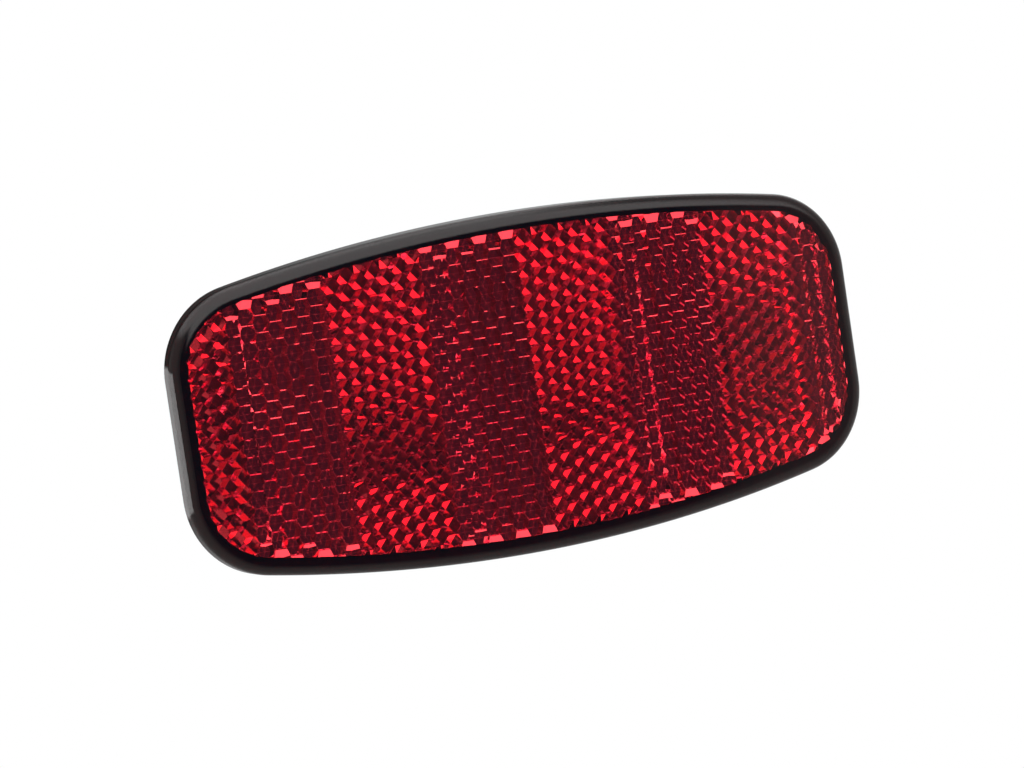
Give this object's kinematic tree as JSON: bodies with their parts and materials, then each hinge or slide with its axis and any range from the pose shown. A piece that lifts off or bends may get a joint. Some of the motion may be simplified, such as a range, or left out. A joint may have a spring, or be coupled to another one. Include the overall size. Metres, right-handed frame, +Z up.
{
  "type": "bicycle rack reflector",
  "caption": "Wide red rear reflector with rounded corners and bands of corner prisms, on a black back plate with bolt studs for a luggage rack's rear bracket.",
  "frame": {"origin": "midway between the two studs, on the mounting face where the back plate's bosses meet the rack's bracket", "axes": "+X along the width, +Y back towards the rack along the studs, +Z up; the lens looks along -Y"},
  "size_m": [0.096, 0.0228, 0.044],
  "materials": {
    "lens": "polished transparent red",
    "back_plate": "fine moulded grain",
    "mounting_bolts": "bright zinc"
  },
  "bodies": {
    "root": {"lens": "lens", "back_plate": "back_plate", "mounting_bolts": "mounting_bolts"}
  },
  "joints": []
}
